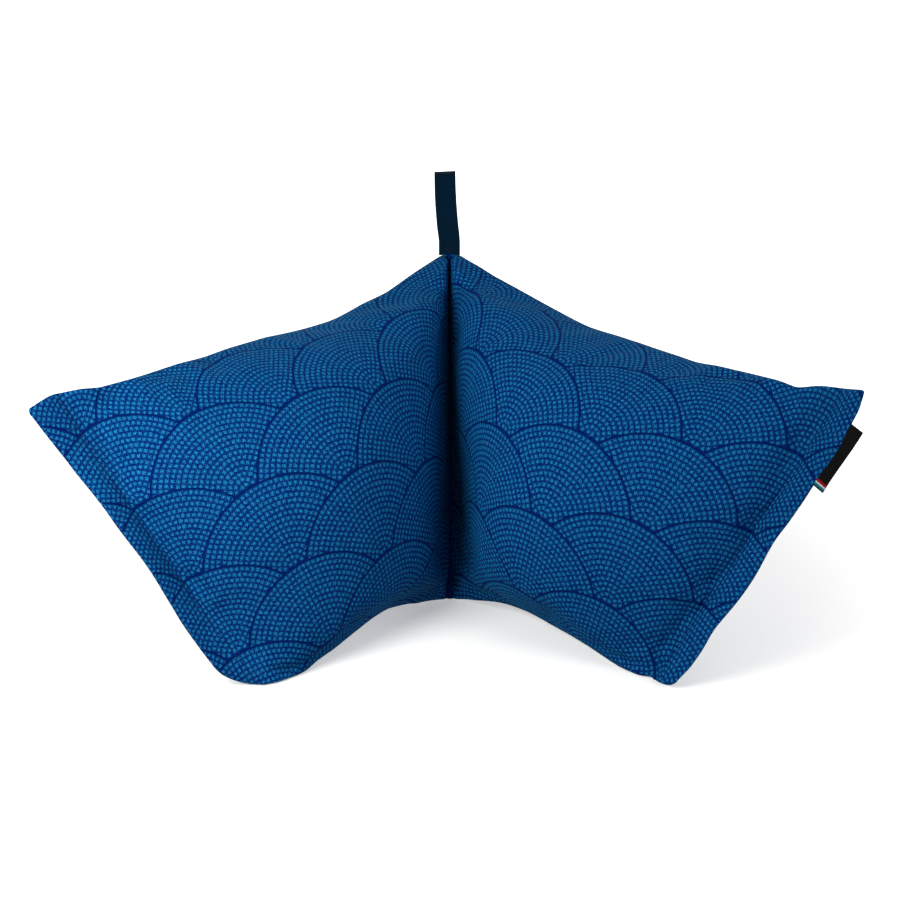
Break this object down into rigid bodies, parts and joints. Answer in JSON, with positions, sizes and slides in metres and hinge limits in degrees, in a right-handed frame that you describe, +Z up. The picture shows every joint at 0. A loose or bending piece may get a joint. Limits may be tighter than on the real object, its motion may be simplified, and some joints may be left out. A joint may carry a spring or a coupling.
{
  "type": "folding neck pillow",
  "caption": "Folding neck pillow: two stuffed wings of wave-print cotton hinged on a centre seam, with flat stitched flanges, a webbing hanging loop and a side label.",
  "frame": {"origin": "on the floor, below the middle of the standing pillow's bounding box", "axes": "+X to the right across the two wings, +Y from the open front to the centre seam at the back, +Z up from the floor"},
  "size_m": [0.375, 0.2378, 0.1834],
  "materials": {
    "wave_print_cotton": "matte",
    "stuffing_fibre": "matte",
    "navy_thread": "matte",
    "navy_webbing": "matte",
    "black_label": "matte"
  },
  "bodies": {
    "spine": {"spine_seam": "wave_print_cotton", "spine_stitches": "navy_thread", "loop_ends": "navy_webbing", "loop_bartack": "navy_thread"},
    "left_wing": {"left_front_panel": "wave_print_cotton", "left_back_panel": "wave_print_cotton", "left_filling": "stuffing_fibre", "left_topstitch": "navy_thread"},
    "right_wing": {"right_front_panel": "wave_print_cotton", "right_back_panel": "wave_print_cotton", "right_filling": "stuffing_fibre", "right_topstitch": "navy_thread"},
    "loop": {"hang_loop": "navy_webbing"},
    "label": {"side_tag": "black_label"}
  },
  "joints": [
    {"name": "left_wing_fold", "type": "hinge", "parent": "spine", "child": "left_wing", "pos_m": [0, -0.01604, -0.0005], "axis": [0, -0.5861, -0.8102], "range_deg": [-3, 75]},
    {"name": "right_wing_fold", "type": "hinge", "parent": "spine", "child": "right_wing", "pos_m": [0, -0.01604, -0.0005], "axis": [0, 0.5861, 0.8102], "range_deg": [-3, 75]},
    {"name": "loop_flex", "type": "hinge", "parent": "spine", "child": "loop", "pos_m": [0, 0.09417, 0.15186], "axis": [0.9986, 0.0307, 0.0424], "range_deg": [-70, 70], "stiffness_Nm_per_rad": 0.002},
    {"name": "label_flex", "type": "hinge", "parent": "right_wing", "child": "label", "pos_m": [0.1647, -0.10926, 0.0982], "axis": [0.5275, 0.0843, 0.8454], "range_deg": [-70, 70], "stiffness_Nm_per_rad": 0.0005}
  ]
}
